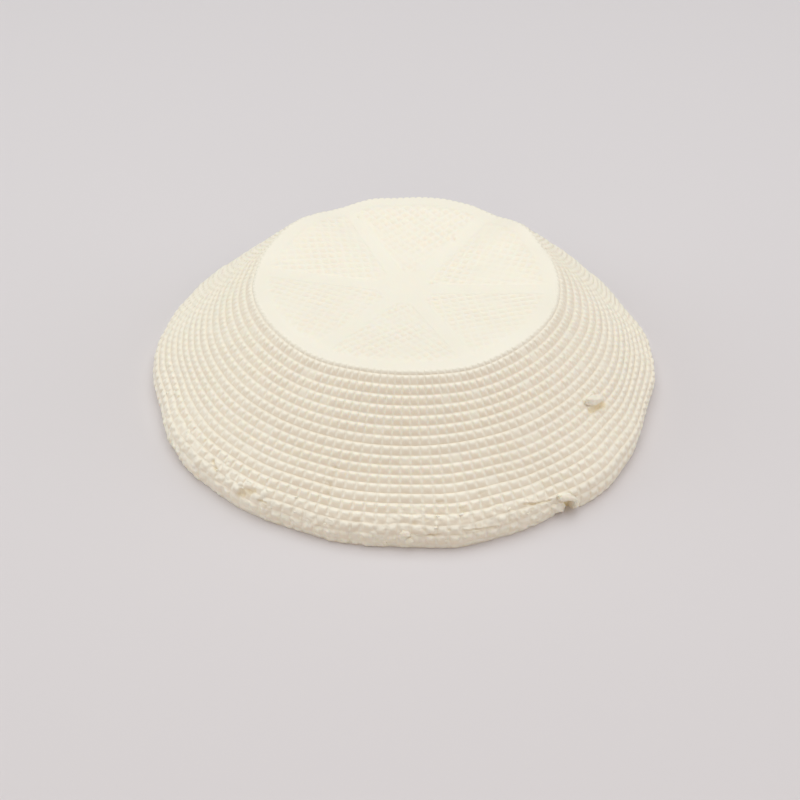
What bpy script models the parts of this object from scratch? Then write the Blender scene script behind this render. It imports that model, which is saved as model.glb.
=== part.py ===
"""Whole fresh ricotta turned out of its draining basket.

Metres, +Z up. The origin is at the middle of the flat foot, and -Y is the
front. The cheese is one solid: a dished top face, a stepped flank that kept
the rings of the basket, and a rough foot where the curd was not held.
Azimuths are in degrees from +X towards +Y.
"""
import math
import random

import bmesh
import bpy
from mathutils import Matrix, Vector, noise

MM = 0.001

# Top face
HEIGHT = 46.5 * MM
FACE_RADIUS = 57.5 * MM
DISH_RADIUS = 53.0 * MM
DISH_DEPTH = 4.2 * MM
DISH_POWER = 1.4
FACE_RINGS = 6

# Six ribs of the basket pressed shallow valleys into the rim
RIB_COUNT = 6
FIRST_RIB = 55.0
RIB_DIP = 1.0 * MM
RIB_FADE_TOP = 45.0 * MM
RIB_FADE_FOOT = 27.0 * MM
RIB_FADE_CENTRE = 12.0 * MM

# Stepped flank: one ledge and one riser for each ring of the basket
ROW_COUNT = 16
FIRST_LEDGE_RADIUS = 59.85 * MM
FIRST_LEDGE_HEIGHT = 44.8 * MM
ROW_RUN = 2.56 * MM
ROW_DROP = 2.395 * MM
LEDGE_WIDTH = 1.5 * MM
LEDGE_FALL = 0.3 * MM

# Foot below the last row, as radius and height
FOOT_RADIUS = 99.5 * MM
FOOT_STEPS = ((0.2, 6.4), (0.5, 3.9), (0.2, 1.6), (-0.9, 0.0))

# Where the foot swells or draws in: azimuth, half width, amount
FOOT_SWELLS = (
    (143.0, 16.0, 1.6 * MM),
    (160.0, 14.0, 0.7 * MM),
    (176.0, 13.0, 0.8 * MM),
    (196.0, 11.0, -1.4 * MM),
    (218.0, 16.0, 1.3 * MM),
    (233.0, 12.0, 1.0 * MM),
    (241.0, 12.0, 0.9 * MM),
    (257.0, 14.0, 1.9 * MM),
    (268.0, 9.0, 1.1 * MM),
    (281.0, 14.0, 3.1 * MM),
    (294.0, 11.0, 1.7 * MM),
    (313.0, 12.0, 2.3 * MM),
    (321.0, 8.0, 0.9 * MM),
    (344.0, 18.0, -2.8 * MM),
    (2.0, 9.0, -0.8 * MM),
    (21.0, 14.0, -1.5 * MM),
    (38.0, 10.0, 0.9 * MM),
    (62.0, 24.0, -1.2 * MM),
    (110.0, 22.0, 1.1 * MM),
)
FLANK_RADIUS = 61.5 * MM
SWELL_TOP = 27.0 * MM
SWELL_FULL = 7.0 * MM

# Where the rim and the flank under it stand higher and wider, at the back
RIM_SWELLS = (
    (40.0, 17.0, 1.8 * MM),
    (64.0, 20.0, 1.4 * MM),
    (82.0, 16.0, 0.9 * MM),
    (106.0, 18.0, 1.0 * MM),
    (138.0, 22.0, 1.1 * MM),
)
RIM_SWELL_FOOT = 12.0 * MM
RIM_SWELL_FULL = 25.0 * MM

# Broken curd band low on the front left, where the steps are lost
BROKEN_MIDDLE = 246.0
BROKEN_HALF_WIDTH = 62.0
BROKEN_TOP = 17.0 * MM
BROKEN_FULL = 9.0 * MM
STEP_FILL = 0.8 * MM
SWELL_GRAIN = 11.0 * MM
SWELL_RELIEF = 1.3 * MM
CRAG_GRAIN = 4.7 * MM
CRAG_RELIEF = 1.5 * MM
EVEN_RELIEF = 0.35 * MM

# Curd lumps on the broken band
LUMP_SEED = 7
LUMP_COUNT = 26
LUMP_START = 192.0
LUMP_END = 306.0
LUMP_RADIUS = (2.0 * MM, 4.0 * MM)
LUMP_LENGTH = (1.0, 1.7)
LUMP_WIDTH = 0.9
LUMP_FLATNESS = 0.55
LUMP_SINK = 0.15
LUMP_LEAN = 30.0
LUMP_CLEARANCE = 0.4 * MM

# Single lumps that stand out: azimuth, sink, height, half sizes, lean
NAMED_LUMPS = (
    ("tongue_by_tear", 306.3, 0.4, 7.2, (3.2, 2.0, 1.5), -14.0),
    ("curl_by_tear", 308.5, 0.2, 3.7, (1.5, 1.6, 2.2), 10.0),
    ("block_by_tear", 304.0, 0.6, 4.0, (2.1, 1.8, 2.7), 0.0),
    ("knob_by_hole", 239.3, 0.3, 10.4, (2.9, 1.8, 2.0), 15.0),
    ("lump_over_hole", 234.9, 0.4, 10.2, (3.2, 1.6, 1.6), -15.0),
    ("knob_in_front", 270.7, 0.9, 5.0, (2.8, 2.2, 2.8), 0.0),
    ("tongue_in_front", 282.5, 0.8, 3.0, (9.5, 2.1, 2.6), -6.0),
    ("flake_on_flank", 327.5, -0.2, 23.0, (4.6, 2.6, 1.1), -16.0),
    ("ridge_on_flake", 329.0, 0.2, 24.0, (2.6, 1.5, 1.2), -10.0),
)
SLOPE_TOP = 12.0 * MM
SLOPE_FOOT = 4.0 * MM

SEGMENTS = 84
LUMP_FACETS = 2
CHEESE_COLOR = (0.90, 0.86, 0.72, 1.0)


def smooth(low, high, value):
    """Ease from 0 at low to 1 at high."""
    t = min(max((value - low) / (high - low), 0.0), 1.0)
    return t * t * (3.0 - 2.0 * t)


def turn_between(azimuth, middle):
    """Smallest turn in degrees from middle to azimuth."""
    return (azimuth - middle + 180.0) % 360.0 - 180.0


def hump(offset, half_width):
    """Cosine hump: 1 in its middle, 0 at and past half_width."""
    if abs(offset) >= half_width:
        return 0.0
    return 0.5 + 0.5 * math.cos(math.pi * offset / half_width)


def face_height(radius):
    """Height of the dished top face at a radius."""
    share = max(0.0, 1.0 - (radius / DISH_RADIUS) ** 2)
    return HEIGHT - DISH_DEPTH * share ** DISH_POWER


def rib_valley(azimuth):
    """How deep the nearest rib presses, 0 to 1."""
    wave = math.cos(math.radians(RIB_COUNT * (azimuth - FIRST_RIB)))
    return (0.5 + 0.5 * wave) ** 2


def brokenness(azimuth, height):
    """How far the basket's steps are lost, 0 to 1."""
    around = hump(turn_between(azimuth, BROKEN_MIDDLE), BROKEN_HALF_WIDTH)
    around = smooth(0.0, 0.35, around)
    return around * (1.0 - smooth(BROKEN_FULL, BROKEN_TOP, height))


def sum_of_swells(swells, azimuth):
    """Offset that a list of swells gives at an azimuth."""
    total = 0.0
    for middle, half_width, amount in swells:
        total += amount * hump(turn_between(azimuth, middle), half_width)
    return total


def foot_swell(azimuth, height):
    """Outward offset of the uneven foot."""
    fade = 1.0 - smooth(SWELL_FULL, SWELL_TOP, height)
    return sum_of_swells(FOOT_SWELLS, azimuth) * fade


def rim_swell(azimuth, height):
    """Outward and upward offset of the uneven rim."""
    fade = smooth(RIM_SWELL_FOOT, RIM_SWELL_FULL, height)
    return sum_of_swells(RIM_SWELLS, azimuth) * fade


def profile_points():
    """Outline from the middle of the top to the foot: radius, height, notch."""
    points = []
    for ring in range(FACE_RINGS + 1):
        radius = DISH_RADIUS * ring / FACE_RINGS
        points.append((radius, face_height(radius), 0.0))
    points.append((FACE_RADIUS, HEIGHT, 0.0))
    for row in range(ROW_COUNT):
        radius = FIRST_LEDGE_RADIUS + row * ROW_RUN
        height = FIRST_LEDGE_HEIGHT - row * ROW_DROP
        points.append((radius - LEDGE_WIDTH / 2, height + LEDGE_FALL / 2, 1.0))
        points.append((radius + LEDGE_WIDTH / 2, height - LEDGE_FALL / 2, 0.0))
    for step_out, step_height in FOOT_STEPS:
        points.append((FOOT_RADIUS + step_out * MM, step_height * MM, 0.0))
    return points


def spin_body():
    """Turn the outline into a closed body with a flat foot."""
    bm = bmesh.new()
    notch = bm.verts.layers.float.new("notch")
    start = Matrix.Rotation(math.radians(FIRST_RIB), 4, "Z")
    profile = []
    for radius, height, depth in profile_points():
        vertex = bm.verts.new(start @ Vector((radius, 0.0, height)))
        vertex[notch] = depth
        profile.append(vertex)
    edges = [bm.edges.new(pair) for pair in zip(profile, profile[1:])]
    bmesh.ops.spin(
        bm,
        geom=profile + edges,
        cent=(0.0, 0.0, 0.0),
        axis=(0.0, 0.0, 1.0),
        angle=math.tau,
        steps=SEGMENTS,
        use_merge=True,
    )
    bmesh.ops.remove_doubles(bm, verts=bm.verts, dist=0.01 * MM)
    open_edges = [edge for edge in bm.edges if edge.is_boundary]
    bmesh.ops.edgeloop_fill(bm, edges=open_edges)
    bmesh.ops.recalc_face_normals(bm, faces=bm.faces)
    return bm


def shape_body(bm):
    """Press in the ribs, swell the foot and rim and break up the low front."""
    notch = bm.verts.layers.float["notch"]
    for vertex in bm.verts:
        radius = vertex.co.xy.length
        height = vertex.co.z
        if radius < 1.0 * MM:
            continue
        azimuth = math.degrees(math.atan2(vertex.co.y, vertex.co.x))
        outward = Vector((vertex.co.x / radius, vertex.co.y / radius, 0.0))
        slope = (outward + Vector((0.0, 0.0, 1.0))).normalized()

        side_fade = smooth(RIB_FADE_FOOT, RIB_FADE_TOP, height)
        face_fade = smooth(RIB_FADE_CENTRE, FACE_RADIUS, radius)
        dip = RIB_DIP * rib_valley(azimuth) * side_fade * face_fade

        broken = brokenness(azimuth, height)
        swelling = noise.noise(vertex.co / SWELL_GRAIN)
        crag = noise.noise(vertex.co / CRAG_GRAIN)
        relief = swelling * (EVEN_RELIEF + SWELL_RELIEF * broken)
        relief += crag * CRAG_RELIEF * broken
        relief += STEP_FILL * vertex[notch] * broken
        relief *= smooth(DISH_RADIUS, FLANK_RADIUS, radius)

        move = outward * foot_swell(azimuth, height)
        move += slope * rim_swell(azimuth, height) * face_fade
        if height > 0.0:
            move += slope * relief
            move.z -= dip
        else:
            move += outward * relief
        vertex.co += move


def flank_radius(height):
    """Radius of the even flank or foot at a height."""
    last_ledge = FIRST_LEDGE_HEIGHT - (ROW_COUNT - 1) * ROW_DROP
    if height < last_ledge:
        return FOOT_RADIUS
    return FOOT_RADIUS - (height - last_ledge) * ROW_RUN / ROW_DROP


def add_lump(name, collection, azimuth, height, sink, half_sizes, lean):
    """Rounded curd lump, flattened against the flank and partly sunk in it."""
    bm = bmesh.new()
    bmesh.ops.create_icosphere(bm, subdivisions=LUMP_FACETS, radius=1.0)
    along, out, up = half_sizes
    radius = flank_radius(height) + foot_swell(azimuth, height)
    flank_tilt = math.atan2(ROW_RUN, ROW_DROP)
    tilt = flank_tilt * smooth(SLOPE_FOOT, SLOPE_TOP, height)
    place = (
        Matrix.Rotation(math.radians(azimuth), 4, "Z")
        @ Matrix.Translation((radius, 0.0, height))
        @ Matrix.Rotation(-tilt, 4, "Y")
        @ Matrix.Translation((-sink, 0.0, 0.0))
        @ Matrix.Rotation(math.radians(lean), 4, "X")
        @ Matrix.Diagonal((out, along, up, 1.0))
    )
    bmesh.ops.transform(bm, matrix=place, verts=bm.verts)
    mesh = bpy.data.meshes.new(name)
    bm.to_mesh(mesh)
    bm.free()
    lump = bpy.data.objects.new(name, mesh)
    collection.objects.link(lump)


def add_curd_lumps(collection):
    """Scatter lumps over the broken band, then add the named ones."""
    draw = random.Random(LUMP_SEED)
    for index in range(LUMP_COUNT):
        share = (index + draw.uniform(0.1, 0.9)) / LUMP_COUNT
        azimuth = LUMP_START + (LUMP_END - LUMP_START) * share
        size = draw.uniform(*LUMP_RADIUS)
        height = draw.uniform(size + LUMP_CLEARANCE, BROKEN_TOP - size)
        length = size * draw.uniform(*LUMP_LENGTH)
        half_sizes = (length, size * LUMP_FLATNESS, size * LUMP_WIDTH)
        lean = draw.uniform(-LUMP_LEAN, LUMP_LEAN)
        name = f"lump_{index:02d}"
        add_lump(name, collection, azimuth, height, size * LUMP_SINK, half_sizes, lean)
    for name, azimuth, sink, height, half_sizes, lean in NAMED_LUMPS:
        sizes = tuple(size * MM for size in half_sizes)
        add_lump(name, collection, azimuth, height * MM, sink * MM, sizes, lean)


def fuse(body, collection):
    """Join the lumps to the body as one closed solid."""
    union = body.modifiers.new("fuse", "BOOLEAN")
    union.operation = "UNION"
    union.operand_type = "COLLECTION"
    union.collection = collection
    union.solver = "EXACT"
    graph = bpy.context.evaluated_depsgraph_get()
    joined = bpy.data.meshes.new_from_object(body.evaluated_get(graph))
    body.modifiers.clear()
    body.data = joined
    for lump in list(collection.objects):
        bpy.data.objects.remove(lump, do_unlink=True)
    bpy.data.collections.remove(collection)


def curd_material():
    """Moist cream-white curd."""
    material = bpy.data.materials.new("fresh_curd")
    material.use_nodes = True
    shader = material.node_tree.nodes["Principled BSDF"]
    shader.inputs["Base Color"].default_value = CHEESE_COLOR
    shader.inputs["Roughness"].default_value = 0.55
    shader.inputs["Metallic"].default_value = 0.0
    material.diffuse_color = CHEESE_COLOR
    return material


def build():
    """Build the cheese as one object."""
    for old in list(bpy.data.objects):
        bpy.data.objects.remove(old, do_unlink=True)
    bm = spin_body()
    shape_body(bm)
    mesh = bpy.data.meshes.new("ricotta")
    bm.to_mesh(mesh)
    bm.free()
    body = bpy.data.objects.new("ricotta", mesh)
    bpy.context.collection.objects.link(body)
    lumps = bpy.data.collections.new("curd_lumps")
    bpy.context.scene.collection.children.link(lumps)
    add_curd_lumps(lumps)
    fuse(body, lumps)
    body.data.name = "ricotta"
    body.data.materials.clear()
    body.data.materials.append(curd_material())
    body.data.shade_smooth()
    body.data.set_sharp_from_angle(angle=math.radians(35.0))


build()
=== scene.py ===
"""Dress the whole ricotta in its fine surface, finish, light and camera.

The cheese keeps the form of its solid: a dished face with six net petals, a
sloping flank of small square bumps in rings, and a rough curd foot. Lengths
are in millimetres until a mesh is finished, and azimuths are in degrees from
+X towards +Y. A row coordinate counts the rings of the basket down the flank:
0 is the crease under the rim, and each ring adds 1.
"""
import logging
import math
import random
from dataclasses import dataclass
from enum import Enum

import bmesh
import bpy
import numpy as np
from mathutils import Matrix, Vector, noise


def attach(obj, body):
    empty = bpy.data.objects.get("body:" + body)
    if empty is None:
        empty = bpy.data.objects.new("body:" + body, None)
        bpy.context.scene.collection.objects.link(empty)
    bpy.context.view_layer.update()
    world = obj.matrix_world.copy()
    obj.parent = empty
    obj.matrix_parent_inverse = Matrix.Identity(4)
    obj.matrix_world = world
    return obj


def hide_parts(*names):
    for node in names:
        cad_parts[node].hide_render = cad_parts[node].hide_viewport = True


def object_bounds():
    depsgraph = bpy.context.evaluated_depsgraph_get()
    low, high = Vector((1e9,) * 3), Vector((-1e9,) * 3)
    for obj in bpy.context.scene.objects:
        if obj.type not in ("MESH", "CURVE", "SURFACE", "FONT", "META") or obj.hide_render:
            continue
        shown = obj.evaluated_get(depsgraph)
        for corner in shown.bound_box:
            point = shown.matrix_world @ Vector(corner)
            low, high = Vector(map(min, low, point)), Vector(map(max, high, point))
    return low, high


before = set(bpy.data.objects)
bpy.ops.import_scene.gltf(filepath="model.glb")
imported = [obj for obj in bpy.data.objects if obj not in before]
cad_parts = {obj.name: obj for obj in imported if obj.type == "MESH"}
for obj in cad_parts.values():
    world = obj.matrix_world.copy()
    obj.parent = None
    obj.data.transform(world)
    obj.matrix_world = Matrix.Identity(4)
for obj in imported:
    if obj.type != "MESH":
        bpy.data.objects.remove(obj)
CAD_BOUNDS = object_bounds()

MM = 0.001
NODE = "ricotta"
BODY = "root"

log = logging.getLogger("ricotta")


def ease(low: float, high: float, value: np.ndarray) -> np.ndarray:
    """Ease from 0 at low to 1 at high.

    Args:
        low: Value that gives 0.
        high: Value that gives 1.
        value: Values to ease.

    Returns:
        The eased values.
    """
    share = np.clip((value - low) / (high - low), 0.0, 1.0)
    return share * share * (3.0 - 2.0 * share)


def turn_from(middle: float, azimuth: np.ndarray) -> np.ndarray:
    """Smallest signed turn in degrees from middle to each azimuth."""
    return (azimuth - middle + 180.0) % 360.0 - 180.0


def hump(offset: np.ndarray, half_width: float) -> np.ndarray:
    """Cosine hump: 1 in its middle, 0 at and past half_width."""
    inside = np.abs(offset) < half_width
    return np.where(inside, 0.5 + 0.5 * np.cos(np.pi * offset / half_width), 0.0)


def grain(points: np.ndarray, size: float, shift: float = 0.0) -> np.ndarray:
    """Smooth random values from about -1 to 1.

    Args:
        points: One point per row, in millimetres.
        size: Size of one swelling, in millimetres.
        shift: Moves the pattern, for another one of the same size.

    Returns:
        One value per point.
    """
    scaled = points / size + shift
    return np.array([noise.noise(Vector(point)) for point in scaled])


def inside_box(points: np.ndarray) -> np.ndarray:
    """Keep points, in metres, inside the solid's box."""
    low, high = (np.array(corner) for corner in CAD_BOUNDS)
    return np.clip(points, low, high)


def grains(points: np.ndarray, layers: tuple) -> np.ndarray:
    """Add up layers of grain, each of a height, a size and a shift."""
    return sum(height * grain(points, size, shift) for height, size, shift in layers)


class LumpForm(Enum):
    """How a loose bit of curd is shaped."""

    KNOB = "knob"
    FLAKE = "flake"
    FLAP = "flap"


@dataclass(frozen=True)
class CurdFinish:
    """Moist, soft, slightly translucent curd.

    Attributes:
        name: Name of the material.
        cream: Colour of the open surface.
        pale: Colour of its lighter clouds.
        deep: Painted shade colour for the bumps' steep faces, walls, sides and creases, the rim's face
            and the net's pits; the loose curd takes a little of it to warm its tone.
        hollow_shade: Painted shade, a tan colour inside tears and holes and under the flake.
        roughness: Middle roughness of the moist skin.
        glow: Share of light that travels through the curd.
        glow_reach: How far that light travels, in millimetres.
        bump: Height of the fine grain, in millimetres.
    """

    name: str = "fresh_curd"
    cream: tuple = (0.905, 0.865, 0.735, 1.0)
    pale: tuple = (0.925, 0.895, 0.785, 1.0)
    # Painted shade colour for steep faces, walls, creases and pits.
    deep: tuple = (0.855, 0.735, 0.565, 1.0)
    # Painted shade: a tan colour inside tears, holes and under the flake.
    hollow_shade: tuple = (0.80, 0.66, 0.37, 1.0)
    roughness: float = 0.52
    glow: float = 0.22
    glow_reach: float = 1.1
    bump: float = 0.10

    def make(self) -> bpy.types.Material:
        """Build the node material.

        Returns:
            The finished material.
        """
        material = bpy.data.materials.new(self.name)
        material.use_nodes = True
        nodes = material.node_tree.nodes
        links = material.node_tree.links
        shader = nodes["Principled BSDF"]
        shader.inputs["Subsurface Radius"].default_value = (1.0, 0.72, 0.42)
        shader.inputs["Subsurface Scale"].default_value = self.glow_reach * MM
        shader.inputs["Specular IOR Level"].default_value = 0.66

        place = nodes.new("ShaderNodeTexCoord")
        clouds = self._noise(nodes, links, place, 45.0, 3.0)
        fine = self._noise(nodes, links, place, 1100.0, 4.0)
        finer = self._noise(nodes, links, place, 3200.0, 2.0)

        skin = nodes.new("ShaderNodeMix")
        skin.data_type = "RGBA"
        skin.inputs["A"].default_value = self.cream
        skin.inputs["B"].default_value = self.pale
        links.new(clouds.outputs["Fac"], skin.inputs["Factor"])

        color = skin.outputs["Result"]
        # Painted shade: the deep colour on steep faces, walls, creases and pits, and a tan inside
        # tears, holes and under the flake.
        for name, tone in (("painted_shade_and_warmth", self.deep), ("hollow_shade", self.hollow_shade)):
            color = self._tint(nodes, links, color, name, tone)
        links.new(color, shader.inputs["Base Color"])

        reach = nodes.new("ShaderNodeAttribute")
        reach.attribute_name = "soft"
        glow = nodes.new("ShaderNodeMapRange")
        glow.inputs["To Max"].default_value = self.glow
        links.new(reach.outputs["Fac"], glow.inputs["Value"])
        links.new(glow.outputs["Result"], shader.inputs["Subsurface Weight"])

        gloss = nodes.new("ShaderNodeMapRange")
        gloss.inputs["To Min"].default_value = self.roughness - 0.12
        gloss.inputs["To Max"].default_value = self.roughness + 0.14
        links.new(fine.outputs["Fac"], gloss.inputs["Value"])
        links.new(gloss.outputs["Result"], shader.inputs["Roughness"])

        curds = nodes.new("ShaderNodeBump")
        curds.inputs["Strength"].default_value = 0.5
        curds.inputs["Distance"].default_value = self.bump * MM
        links.new(fine.outputs["Fac"], curds.inputs["Height"])
        pores = nodes.new("ShaderNodeBump")
        pores.inputs["Strength"].default_value = 0.35
        pores.inputs["Distance"].default_value = self.bump * MM / 2
        links.new(finer.outputs["Fac"], pores.inputs["Height"])
        links.new(curds.outputs["Normal"], pores.inputs["Normal"])
        links.new(pores.outputs["Normal"], shader.inputs["Normal"])
        return material

    @staticmethod
    def _tint(
        nodes: bpy.types.Nodes,
        links: bpy.types.NodeLinks,
        color: bpy.types.NodeSocket,
        name: str,
        tone: tuple,
    ) -> bpy.types.NodeSocket:
        """Mix a tone into a colour where a mesh attribute says.

        Args:
            nodes: Nodes of the material.
            links: Links of the material.
            color: Colour so far.
            name: Name of the mesh attribute.
            tone: Colour where the attribute is 1.

        Returns:
            The mixed colour.
        """
        share = nodes.new("ShaderNodeAttribute")
        share.attribute_name = name
        tint = nodes.new("ShaderNodeMix")
        tint.data_type = "RGBA"
        tint.inputs["B"].default_value = tone
        links.new(share.outputs["Fac"], tint.inputs["Factor"])
        links.new(color, tint.inputs["A"])
        return tint.outputs["Result"]

    @staticmethod
    def _noise(
        nodes: bpy.types.Nodes,
        links: bpy.types.NodeLinks,
        place: bpy.types.Node,
        scale: float,
        detail: float,
    ) -> bpy.types.Node:
        """Add one noise texture on object coordinates.

        Args:
            nodes: Nodes of the material.
            links: Links of the material.
            place: Node that gives the coordinates.
            scale: Swellings to a metre.
            detail: How many finer layers it has.

        Returns:
            The texture node.
        """
        texture = nodes.new("ShaderNodeTexNoise")
        texture.inputs["Scale"].default_value = scale
        texture.inputs["Detail"].default_value = detail
        links.new(place.outputs["Object"], texture.inputs["Vector"])
        return texture


@dataclass(frozen=True)
class PlainFinish:
    """Even matt finish for the floor."""

    name: str = "pale_floor"
    color: tuple = (0.70, 0.675, 0.69, 1.0)
    roughness: float = 0.85

    def make(self) -> bpy.types.Material:
        """Build the material.

        Returns:
            The finished material.
        """
        material = bpy.data.materials.new(self.name)
        material.use_nodes = True
        shader = material.node_tree.nodes["Principled BSDF"]
        shader.inputs["Base Color"].default_value = self.color
        shader.inputs["Roughness"].default_value = self.roughness
        return material


@dataclass
class Basket:
    """The draining basket whose inside shaped the cheese.

    It gives every piece the same base line, ribs and unevenness, so that
    the pieces meet without a step. A swell is its azimuth, half width and
    amount, and a slide is the same with its amount in rows. A fade is the
    two heights or radii between which something comes in. The foot's line
    is rows past the cone, radius and height, and the curd keeps its flat
    foot below the resting heights.
    """

    height: float = 46.5
    dish_radius: float = 53.0
    dish_depth: float = 4.2
    dish_power: float = 1.4
    rib_count: int = 6
    first_rib: float = 55.0
    rib_dip: float = 1.0
    rib_fade: tuple = (27.0, 45.0)
    columns: int = 144
    first_groove: float = -0.95
    spread: tuple = (0.07, 0.16, 0.33, 0.50, 0.67, 0.84, 0.93)
    crease_radius: float = 59.1
    crease_height: float = 44.95
    row_run: float = 2.56
    row_drop: float = 2.395
    cone_rows: int = 15
    foot_line: tuple = ((1.0, 98.9, 5.85), (2.0, 99.3, 2.4), (2.7, 98.6, 0.0))
    drift_rows: tuple = (-1.0, 0.5, 2.0, 4.0, 6.0, 8.0, 10.0, 12.0, 13.5, 15.0, 17.0)
    drifts: tuple = (-0.10, -0.10, 0.0, 0.11, 0.19, 0.19, 0.10, -0.10, -0.18, -0.15, 0.0)
    slides: tuple = ((358.0, 36.0, 0.42),)
    low_slides: tuple = ((203.0, 20.0, -0.18), (302.0, 11.0, 0.22), (339.0, 16.0, 0.30))
    slide_rows: tuple = (6.0, 11.0)
    foot_swells: tuple = (
        (143.0, 16.0, 1.6),
        (160.0, 14.0, 0.7),
        (176.0, 13.0, 0.8),
        (196.0, 11.0, -1.4),
        (218.0, 16.0, 1.3),
        (233.0, 12.0, 1.0),
        (241.0, 12.0, 0.9),
        (257.0, 14.0, 1.9),
        (268.0, 9.0, 1.1),
        (281.0, 14.0, 3.1),
        (294.0, 11.0, 1.7),
        (313.0, 12.0, 2.3),
        (321.0, 8.0, 0.9),
        (344.0, 18.0, -2.8),
        (2.0, 9.0, -0.8),
        (21.0, 14.0, -1.5),
        (38.0, 10.0, 0.9),
        (62.0, 24.0, -1.2),
        (110.0, 22.0, 1.1),
    )
    foot_swell_fade: tuple = (7.0, 27.0)
    face_fade: tuple = (12.0, 57.5)
    resting: tuple = (0.0, 1.5)
    rim_swells: tuple = (
        (40.0, 17.0, 1.8),
        (64.0, 20.0, 1.4),
        (82.0, 16.0, 0.9),
        (106.0, 18.0, 1.0),
        (138.0, 22.0, 1.1),
    )
    rim_swell_fade: tuple = (12.0, 25.0)
    uneven: tuple = ((0.22, 14.0, 0.0), (0.10, 5.0, 7.0))

    @property
    def steps(self) -> int:
        """How many points go round one ring."""
        return self.columns * len(self.spread)

    def place_of(self, azimuth: np.ndarray) -> tuple:
        """Find the column that each point lies on.

        Args:
            azimuth: Azimuth of each point.

        Returns:
            Number of the column, and the place across it from 0 to 1.
        """
        place = (azimuth - self.first_groove) % 360.0 / 360.0 * self.columns
        column = np.floor(place).astype(int) % self.columns
        return column, place - np.floor(place)

    def slope(self, row: np.ndarray) -> tuple:
        """Find which way the flank faces.

        Args:
            row: Row coordinate of each point.

        Returns:
            Outward and upward parts of the flank's normal.
        """
        before, after = self.line(row - 0.25), self.line(row + 0.25)
        run, drop = after[0] - before[0], before[1] - after[1]
        length = np.maximum(np.hypot(run, drop), 1e-6)
        return drop / length, run / length

    def line(self, row: np.ndarray) -> tuple:
        """Follow the creases' line down the flank.

        Args:
            row: Row coordinate of each point.

        Returns:
            Radius and height of each point on the line.
        """
        row = row + np.interp(row, self.drift_rows, self.drifts)
        last = float(self.cone_rows)
        end_radius = self.crease_radius + last * self.row_run
        end_height = self.crease_height - last * self.row_drop
        past, foot_radii, foot_heights = zip(*self.foot_line)
        rows = (-1.0, last, *(last + step for step in past))
        radii = (self.crease_radius - self.row_run, end_radius, *foot_radii)
        heights = (self.crease_height + self.row_drop, end_height, *foot_heights)
        return np.interp(row, rows, radii), np.interp(row, rows, heights)

    def face_height(self, radius: np.ndarray) -> np.ndarray:
        """Height of the dished face at each radius."""
        share = np.clip(1.0 - (radius / self.dish_radius) ** 2, 0.0, 1.0)
        return self.height - self.dish_depth * share**self.dish_power

    def rib_valley(self, azimuth: np.ndarray) -> np.ndarray:
        """How deep the nearest rib presses, 0 to 1."""
        wave = np.cos(np.radians(self.rib_count * (azimuth - self.first_rib)))
        return (0.5 + 0.5 * wave) ** 2

    @staticmethod
    def sum_of_swells(swells: tuple, azimuth: np.ndarray) -> np.ndarray:
        """Add up a list of swells.

        Args:
            swells: Azimuth, half width and amount of each swell.
            azimuth: Azimuth of each point.

        Returns:
            Offset of each point.
        """
        total = np.zeros_like(azimuth)
        for middle, half_width, amount in swells:
            total += amount * hump(turn_from(middle, azimuth), half_width)
        return total

    def settle(self, azimuth: np.ndarray, radius: np.ndarray, height: np.ndarray) -> tuple:
        """Move points by the ribs, the foot's swells and the curd's unevenness.

        Args:
            azimuth: Azimuth of each point.
            radius: Radius of each point.
            height: Height of each point.

        Returns:
            The new radius and height of each point.
        """
        turned = np.radians(azimuth)
        points = np.stack(
            (radius * np.cos(turned), radius * np.sin(turned), height), axis=1
        )
        uneven = grains(points, self.uneven)
        uneven *= ease(self.dish_radius, self.crease_radius + 2.0, radius)
        face_fade = ease(*self.face_fade, radius)
        dip = self.rib_dip * self.rib_valley(azimuth) * ease(*self.rib_fade, height) * face_fade
        rim = self.sum_of_swells(self.rim_swells, azimuth) * ease(*self.rim_swell_fade, height)
        foot = self.sum_of_swells(self.foot_swells, azimuth)
        foot *= 1.0 - ease(*self.foot_swell_fade, height)
        slanted = (uneven + rim * face_fade) * math.sqrt(0.5)
        free = ease(*self.resting, height)
        slide = self.slide(azimuth, radius, height)
        radius = radius + foot + slanted + slide * self.row_run
        return radius, height + (slanted - dip) * free - slide * self.row_drop

    def slide(self, azimuth: np.ndarray, radius: np.ndarray, height: np.ndarray) -> np.ndarray:
        """How far down the flank the rows lie from their even place.

        Args:
            azimuth: Azimuth of each point.
            radius: Radius of each point.
            height: Height of each point.

        Returns:
            The shift of each point, in rows.
        """
        row = (self.crease_height - height) / self.row_drop
        slide = self.sum_of_swells(self.slides, azimuth) * ease(-0.5, 5.0, row)
        slide += self.sum_of_swells(self.low_slides, azimuth) * ease(*self.slide_rows, row)
        return slide * ease(3.0, 12.0, height) * ease(self.dish_radius, self.crease_radius, radius)


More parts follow.
